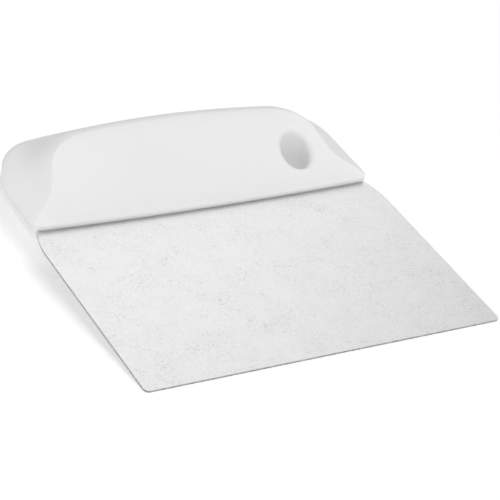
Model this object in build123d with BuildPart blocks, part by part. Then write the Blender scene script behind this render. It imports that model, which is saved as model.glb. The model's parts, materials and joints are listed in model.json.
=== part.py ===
from build123d import *
import os
from math import cos, radians, sin, sqrt

# Bench scraper: a stamped steel blade whose tang is held in an over-moulded plastic handle.
# Both pieces are drawn with the blade level: x runs along the cutting edge, y from the cutting
# edge towards the grip, and z = 0 is half-way through the blade's thickness.
# Then they are laid down as on a table, on the cutting edge and on the ridge of the grip.

# ---- driving dimensions, millimetres and degrees ----
blade_width = 120.0
blade_thickness = 0.6
blade_corner = 1.6            # rounding at the two ends of the cutting edge
shoulder_start = 62.0         # where the blade's sides begin to curve in
shoulder_end = 73.0           # where they end, just inside the handle
neck_width = 115.4
tang_width = 100.0
tang_end = 97.0
tang_corner = 14.0

lip_at_ends = 72.4            # the handle's front edge, measured from the cutting edge
lip_at_middle = 71.2
handle_width = 116.8
handle_end = 117.3
rim_thickness = 5.2           # the thin rim all round, which is also the front lip
grip_thickness = 30.0

hole_x = 37.2
hole_y = 85.2
bore_radius = 5.0
mouth_round = 2.4
lip_round = 1.2               # along the lip's top edge
lip_corner = 2.5              # at the lip's two ends, in plan
ridge_round = 0.8             # along the edge between the ramp and the grip
tang_clearance = 3.0          # plastic wall between the bore and the steel
gap_depth = 0.6               # the small step that the mould leaves where the lip meets the steel
gap_height = 0.45
parting_depth = 0.15          # the mould's parting line round the rim
parting_height = 0.25

lock_hole_radius = 4.0
lock_hole_pitch = 20.0
lock_hole_y = 86.0

rest_tilt = 8.4868            # lean of the blade when the tool lies on a table

# ---- placing ----
tilt = radians(rest_tilt)
lying_length = handle_end * cos(tilt) + rim_thickness / 2 * sin(tilt)
lying = Location((0, -lying_length / 2, blade_thickness / 2 * cos(tilt)), (rest_tilt, 0, 0))

# ---- blade: one flat stamping with its tang, lock holes and a notch for the hanging hole ----
half_blade = blade_width / 2
half_neck = neck_width / 2
half_tang = tang_width / 2
shoulder_mid_y = (shoulder_start + shoulder_end) / 2
shoulder_mid_x = half_blade - (half_blade - half_neck) / 4

with BuildPart() as level_blade:
    with BuildSketch(Plane.XY.offset(-blade_thickness / 2)):
        with BuildLine():
            Polyline(
                (-half_blade, shoulder_start),
                (-half_blade, 0),
                (half_blade, 0),
                (half_blade, shoulder_start),
            )
            for end in (-1, 1):
                ThreePointArc(
                    (end * half_blade, shoulder_start),
                    (end * shoulder_mid_x, shoulder_mid_y),
                    (end * half_neck, shoulder_end),
                )
            Polyline(
                (-half_neck, shoulder_end),
                (-half_tang, shoulder_end),
                (-half_tang, tang_end),
                (half_tang, tang_end),
                (half_tang, shoulder_end),
                (half_neck, shoulder_end),
            )
        face = make_face()
        fillet(face.vertices().group_by(Axis.Y)[0], blade_corner)
        fillet(face.vertices().group_by(Axis.Y)[-1], tang_corner)
        with Locations((hole_x, hole_y)):
            Circle(bore_radius + tang_clearance, mode=Mode.SUBTRACT)
        with Locations(*[(k * lock_hole_pitch, lock_hole_y) for k in (-2, -1, 0)]):
            Circle(lock_hole_radius, mode=Mode.SUBTRACT)
    extrude(amount=blade_thickness)

# ---- handle ----
# Contours of the handle, from the rim up: height over the blade's mid-plane, half width at the
# grip, how much narrower it is at the front, reach of the back at mid width, corner radius, and
# radius of the back's long arc.
rim_half = rim_thickness / 2
grip_half = grip_thickness / 2
half_handle = handle_width / 2
contours = [
    (rim_half, half_handle, 0.0, handle_end, 22.0, 240.0),
    (6.0, half_handle - 3.8, 5.5, handle_end - 4.6, 16.0, 240.0),
    (9.5, half_handle - 8.0, 6.0, handle_end - 8.8, 14.0, 240.0),
    (12.6, half_handle - 11.6, 5.0, handle_end - 12.2, 12.0, 240.0),
    (14.3, half_handle - 14.2, 4.0, handle_end - 15.0, 12.0, 230.0),
    (15.2, half_handle - 17.4, 3.5, handle_end - 18.8, 9.0, 165.0),
]
front = lip_at_middle - 2.0   # the contours start in front of the lip, which is cut afterwards

ramp_points = [
    (front - 1, rim_half - 0.7),
    (lip_at_middle + 2, rim_half),
    (81.8, 6.6),
    (88.7, 10.7),
    (93.0, 13.1),
    (96.0, 14.5),
    (99.0, 15.0),
    (handle_end, 15.3),
]
lip_sagitta = (lip_at_ends - lip_at_middle) * (blade_width / half_handle) ** 2
far_lip = lip_at_middle + lip_sagitta


def d_outline(half_width, waist, back, corner, arc):
    """Plan shape of the handle at one height: straight front, rounded back corners, arched back."""
    shoulder = back - (arc - sqrt(arc**2 - half_width**2))
    with BuildSketch() as plan:
        with BuildLine():
            Polyline(
                (-half_width, shoulder),
                (-half_width + waist, front),
                (half_width - waist, front),
                (half_width, shoulder),
            )
            ThreePointArc((half_width, shoulder), (0, back), (-half_width, shoulder))
        outline = make_face()
        fillet(outline.vertices().group_by(Axis.Y)[-1], corner)
    return plan.sketch


def on_lip_top(edge):
    spot = edge @ 0.5
    return spot.Z > rim_half / 2 and spot.Y < lip_at_ends and edge.length > handle_width / 4


def on_ridge(edge):
    spot = edge @ 0.5
    back = spot.Z > 0.9 * grip_half and 0.1 * half_handle < abs(spot.X)
    flank = abs(spot.X) > 0.8 * half_handle and spot.Y < lock_hole_y and spot.Z > 1.5 * rim_half
    return back or flank


def on_mouth(edge):
    spot = edge @ 0.5
    near = abs(spot.X - hole_x) < 1.1 * bore_radius and abs(spot.Y - hole_y) < 1.1 * bore_radius
    return near and spot.Z > 1 and edge.length > 5 * bore_radius


with BuildPart() as level_handle:
    # the upper half: the rim, and the grip above it
    with BuildSketch():
        add(d_outline(*contours[0][1:]))
    extrude(amount=rim_half)
    for height, *shape in contours:
        with BuildSketch(Plane.XY.offset(height)):
            add(d_outline(*shape))
    loft()

    # the thumb ramp: it rises from the lip to the grip's ridge, hollow first and then crowned
    with BuildSketch(Plane.YZ):
        with BuildLine():
            ramp = Spline(*ramp_points)
            Polyline(ramp @ 1, (handle_end, 2 * grip_half), (front - 1, 2 * grip_half), ramp @ 0)
        make_face()
    extrude(amount=blade_width, both=True, mode=Mode.SUBTRACT)

    # the lip, bowed a little towards the cutting edge, with its top edge and its ends rounded
    with BuildSketch():
        with BuildLine():
            lip = ThreePointArc((-blade_width, far_lip), (0, lip_at_middle), (blade_width, far_lip))
            Polyline(lip @ 1, (blade_width, 0), (-blade_width, 0), lip @ 0)
        make_face()
    extrude(amount=grip_thickness, mode=Mode.SUBTRACT)
    fillet([edge for edge in level_handle.edges() if on_lip_top(edge)], lip_round)
    with BuildSketch():
        for end in (-1, 1):
            with BuildLine():
                Polyline(
                    (end * half_handle, lip_at_ends + lip_corner),
                    (end * (half_handle + 1), lip_at_ends + lip_corner),
                    (end * (half_handle + 1), lip_at_ends - 1),
                    (end * (half_handle - lip_corner), lip_at_ends - 1),
                    (end * (half_handle - lip_corner), lip_at_ends),
                )
                RadiusArc(
                    (end * (half_handle - lip_corner), lip_at_ends),
                    (end * half_handle, lip_at_ends + lip_corner),
                    -end * lip_corner,
                )
            make_face()
    extrude(amount=grip_thickness, mode=Mode.SUBTRACT)

    # the ridge round the ramp is only slightly rounded
    fillet([edge for edge in level_handle.edges() if on_ridge(edge)], ridge_round)

    # the hanging hole, with a rounded mouth
    with BuildSketch():
        with Locations((hole_x, hole_y)):
            Circle(bore_radius)
    extrude(amount=grip_thickness, mode=Mode.SUBTRACT)
    fillet([edge for edge in level_handle.edges() if on_mouth(edge)], mouth_round)

    # the lower half is the same
    mirror(about=Plane.XY)

    # the steel it is moulded round, with the step where the lip meets it
    add(level_blade.part, mode=Mode.SUBTRACT)
    with BuildSketch():
        with BuildLine():
            gap = ThreePointArc(
                (-blade_width, far_lip + gap_depth),
                (0, lip_at_middle + gap_depth),
                (blade_width, far_lip + gap_depth),
            )
            Polyline(gap @ 1, (blade_width, 0), (-blade_width, 0), gap @ 0)
        make_face()
    extrude(amount=blade_thickness / 2 + gap_height, both=True, mode=Mode.SUBTRACT)

    # the parting line
    with BuildSketch():
        add(d_outline(*contours[0][1:]))
        offset(amount=-parting_depth, mode=Mode.SUBTRACT)
    extrude(amount=parting_height / 2, both=True, mode=Mode.SUBTRACT)

# ---- both pieces laid down ----
with BuildPart() as blade:
    with Locations(lying):
        add(level_blade.part)
blade.part.label = "blade"

with BuildPart() as handle:
    with Locations(lying):
        add(level_handle.part)
handle.part.label = "handle"

os.makedirs("parts", exist_ok=True)
export_step(blade.part, "parts/blade.step")
export_step(handle.part, "parts/handle.step")
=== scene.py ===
import json
import math

import bpy
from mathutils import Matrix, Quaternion, Vector


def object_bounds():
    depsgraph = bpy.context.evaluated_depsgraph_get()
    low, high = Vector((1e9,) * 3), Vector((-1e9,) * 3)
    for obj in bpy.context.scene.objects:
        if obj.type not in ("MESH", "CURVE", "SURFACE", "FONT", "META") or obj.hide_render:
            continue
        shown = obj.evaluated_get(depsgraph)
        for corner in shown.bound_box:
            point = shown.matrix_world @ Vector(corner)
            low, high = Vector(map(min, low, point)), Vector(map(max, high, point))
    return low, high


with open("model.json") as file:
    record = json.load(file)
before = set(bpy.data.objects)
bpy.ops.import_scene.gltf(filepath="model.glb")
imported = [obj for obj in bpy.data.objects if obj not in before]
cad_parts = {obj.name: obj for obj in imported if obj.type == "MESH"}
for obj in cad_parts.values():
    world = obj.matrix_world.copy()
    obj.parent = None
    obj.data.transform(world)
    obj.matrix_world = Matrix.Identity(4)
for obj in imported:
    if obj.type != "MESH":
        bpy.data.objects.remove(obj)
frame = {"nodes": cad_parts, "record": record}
cad_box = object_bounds()
mm = 0.001

low = Vector(cad_box[0])
high = Vector(cad_box[1])
middle = (low + high) / 2
scene = bpy.context.scene
scene.view_settings.view_transform = "Standard"


# ---------------------------------------------------------------- camera
camera_azimuth = math.radians(35.44)
camera_elevation = math.radians(27.59)
camera_roll = math.radians(8.645)
camera_distance = 583.1 * mm
focal_length = 145.5
sensor_width = 36
aim = middle + Vector((-6.6 * mm, -20.5 * mm, 0))

ahead = Vector((
    math.sin(camera_azimuth) * math.cos(camera_elevation),
    math.cos(camera_azimuth) * math.cos(camera_elevation),
    -math.sin(camera_elevation),
))
camera_data = bpy.data.cameras.new("camera")
camera_data.sensor_width = sensor_width
camera_data.lens = focal_length
camera = bpy.data.objects.new("camera", camera_data)
scene.collection.objects.link(camera)
camera.location = aim - ahead * camera_distance
camera.rotation_mode = "QUATERNION"
camera.rotation_quaternion = ahead.to_track_quat("-Z", "Y") @ Quaternion((0, 0, 1), camera_roll)
scene.camera = camera


# ---------------------------------------------------------------- material helpers
def new_material(name):
    """An empty node material, with its principled shader and its node tree."""
    material = bpy.data.materials.new(name)
    material.use_nodes = True
    shader = material.node_tree.nodes["Principled BSDF"]
    return material, shader, material.node_tree


def noise_at(tree, scale, detail, roughness, shift):
    """Noise in object coordinates. The scale is in cycles per metre."""
    place = tree.nodes.new("ShaderNodeTexCoord")
    moved = tree.nodes.new("ShaderNodeMapping")
    moved.inputs["Location"].default_value = (shift, 2 * shift, 3 * shift)
    noise = tree.nodes.new("ShaderNodeTexNoise")
    noise.inputs["Scale"].default_value = scale
    noise.inputs["Detail"].default_value = detail
    noise.inputs["Roughness"].default_value = roughness
    tree.links.new(place.outputs["Object"], moved.inputs["Vector"])
    tree.links.new(moved.outputs["Vector"], noise.inputs["Vector"])
    return noise.outputs["Fac"]


def remap(tree, value, span, target):
    """The value, with the span's two ends moved to the target's two ends and clamped there."""
    node = tree.nodes.new("ShaderNodeMapRange")
    node.inputs["From Min"].default_value = span[0]
    node.inputs["From Max"].default_value = span[1]
    node.inputs["To Min"].default_value = target[0]
    node.inputs["To Max"].default_value = target[1]
    tree.links.new(value, node.inputs["Value"])
    return node.outputs["Result"]


def combine(tree, operation, first, second):
    """Two values put together by a math operation."""
    node = tree.nodes.new("ShaderNodeMath")
    node.operation = operation
    tree.links.new(first, node.inputs[0])
    tree.links.new(second, node.inputs[1])
    return node.outputs["Value"]


def between(tree, factor, dark, light):
    """A grey that goes from dark to light as the factor goes from 0 to 1."""
    node = tree.nodes.new("ShaderNodeMix")
    node.data_type = "RGBA"
    node.inputs["A"].default_value = (dark, dark, dark, 1)
    node.inputs["B"].default_value = (light, light, light, 1)
    tree.links.new(factor, node.inputs["Factor"])
    return node.outputs["Result"]


def bump(tree, shader, height, distance, strength):
    """Relief on the shader's normal. The distance is the relief's depth in metres."""
    node = tree.nodes.new("ShaderNodeBump")
    node.inputs["Distance"].default_value = distance
    node.inputs["Strength"].default_value = strength
    tree.links.new(height, node.inputs["Height"])
    tree.links.new(node.outputs["Normal"], shader.inputs["Normal"])


# ---------------------------------------------------------------- tumbled stainless steel
def tumbled_steel():
    """Satin steel with the clustered fine pits and faint blotches that tumbling leaves."""
    material, shader, tree = new_material("tumbled_steel")
    pits = remap(tree, noise_at(tree, 1500, 2.0, 0.55, 0.11), (0.52, 0.70), (0.0, 1.0))
    clusters = remap(tree, noise_at(tree, 120, 6.0, 0.75, 0.37), (0.44, 0.64), (0.08, 1.0))
    blotches = remap(tree, noise_at(tree, 150, 5.0, 0.7, 0.71), (0.30, 0.70), (0.80, 0.88))
    grain = remap(tree, noise_at(tree, 1300, 3.0, 0.6, 0.53), (0.3, 0.7), (-0.08, 0.08))

    # pits show more in some areas than in others
    pitting = remap(tree, combine(tree, "MULTIPLY", pits, clusters), (0.0, 1.0), (0.0, 0.50))
    tone = combine(tree, "SUBTRACT", blotches, pitting)
    tone = combine(tree, "ADD", tone, grain)
    tree.links.new(between(tree, tone, 0.52, 0.88), shader.inputs["Base Color"])
    tree.links.new(remap(tree, tone, (0.0, 1.0), (0.56, 0.40)), shader.inputs["Roughness"])
    shader.inputs["Metallic"].default_value = 1.0
    bump(tree, shader, tone, 0.02 * mm, 0.35)
    return material


# ---------------------------------------------------------------- sheared edge of the sheet, with painted shade
def sheared_steel_with_painted_shade():
    """The sheet's sheared edge: rougher than its faces, with torn marks, and a darker colour that is
    painted shade on these thin side faces.
    """
    material, shader, tree = new_material("sheared_steel_with_painted_shade")
    tear = remap(tree, noise_at(tree, 900, 3.0, 0.6, 0.19), (0.3, 0.7), (0.0, 1.0))
    # the dark base colour, 0.30 to 0.50, is painted shade on the sheet's thin side faces; the torn
    # marks vary it
    tree.links.new(between(tree, tear, 0.30, 0.50), shader.inputs["Base Color"])
    tree.links.new(remap(tree, tear, (0.0, 1.0), (0.62, 0.48)), shader.inputs["Roughness"])
    shader.inputs["Metallic"].default_value = 1.0
    bump(tree, shader, tear, 0.03 * mm, 0.5)
    return material


# ---------------------------------------------------------------- white polypropylene
def white_polypropylene():
    """Satin, slightly translucent plastic with a very fine mould texture and faint flow marks."""
    material, shader, tree = new_material("white_polypropylene")
    texture = noise_at(tree, 1400, 3.0, 0.55, 0.23)
    flow = remap(tree, noise_at(tree, 22, 2.0, 0.5, 0.67), (0.3, 0.7), (0.0, 1.0))
    tree.links.new(between(tree, flow, 0.89, 0.92), shader.inputs["Base Color"])
    tree.links.new(remap(tree, texture, (0.3, 0.7), (0.40, 0.50)), shader.inputs["Roughness"])
    shader.inputs["IOR"].default_value = 1.49
    shader.inputs["Subsurface Weight"].default_value = 0.5
    shader.inputs["Subsurface Radius"].default_value = (1.0, 1.0, 0.95)
    shader.inputs["Subsurface Scale"].default_value = 3.0 * mm
    bump(tree, shader, texture, 0.015 * mm, 0.25)
    return material


# ---------------------------------------------------------------- materials on the two pieces
def set_material(node, material):
    node.data.materials.clear()
    node.data.materials.append(material)


blade = frame["nodes"]["blade"]
set_material(blade, tumbled_steel())
set_material(frame["nodes"]["handle"], white_polypropylene())

# the blade's thin edges get the sheared steel, whose dark colour is painted shade on these side faces:
# their normals lie along the sheet, and the hanging hole's axis is square to it
hanging_hole = next(mount for mount in frame["record"]["mounts"] if mount["name"] == "hanging_hole")
across_sheet = Vector(hanging_hole["axis"])
edge_limit = 0.5
blade.data.materials.append(sheared_steel_with_painted_shade())
for polygon in blade.data.polygons:
    if abs(polygon.normal.dot(across_sheet)) < edge_limit:
        polygon.material_index = 1


# ---------------------------------------------------------------- floor and light
reach = 6.0    # half the floor's side, in metres
floor_mesh = bpy.data.meshes.new("floor")
floor_mesh.from_pydata(
    [(-reach, -reach, 0), (reach, -reach, 0), (reach, reach, 0), (-reach, reach, 0)], [], [(0, 1, 2, 3)]
)
floor = bpy.data.objects.new("floor", floor_mesh)
scene.collection.objects.link(floor)
floor_material, floor_shader, _ = new_material("pale_floor")
floor_shader.inputs["Base Color"].default_value = (0.95, 0.95, 0.95, 1)
floor_shader.inputs["Roughness"].default_value = 0.9
floor_shader.inputs["Emission Color"].default_value = (1, 1, 1, 1)
floor_shader.inputs["Emission Strength"].default_value = 0.26
set_material(floor, floor_material)

world = bpy.data.worlds.new("studio")
scene.world = world
world.use_nodes = True
world.node_tree.nodes["Background"].inputs["Color"].default_value = (1, 1, 1, 1)

# the room is brightest above and in front of the tool, and darker behind it
brightest_way = Vector((-0.15, -0.62, 0.77)).normalized()
darkest_and_brightest = (0.10, 0.74)
room = world.node_tree
place = room.nodes.new("ShaderNodeTexCoord")
towards_front = room.nodes.new("ShaderNodeVectorMath")
towards_front.operation = "DOT_PRODUCT"
towards_front.inputs[1].default_value = brightest_way
room.links.new(place.outputs["Generated"], towards_front.inputs[0])
room_light = remap(room, towards_front.outputs["Value"], (-1.0, 1.0), darkest_and_brightest)
room.links.new(room_light, room.nodes["Background"].inputs["Strength"])


def softbox(name, direction, distance, size, power):
    """A square soft light that faces the tool. The direction points from the tool to the light."""
    data = bpy.data.lights.new(name, "AREA")
    data.shape = "SQUARE"
    data.size = size
    data.energy = power
    light = bpy.data.objects.new(name, data)
    scene.collection.objects.link(light)
    light.location = middle + Vector(direction).normalized() * distance
    light.rotation_mode = "QUATERNION"
    light.rotation_quaternion = (middle - light.location).to_track_quat("-Z", "Y")
    return light


# the key light shapes the plastic and isn't mirrored in the steel; the reflector behind the tool is
# only mirrored, and brightens the steel
light_distance = 1.6
key = softbox("softbox_key", (-0.05, -0.50, 0.86), light_distance, 0.9, 7.7)
key.visible_glossy = False
reflector = softbox("reflector_back", (0.34, 0.67, 0.65), light_distance, 1.3, 4.4)
reflector.visible_diffuse = False
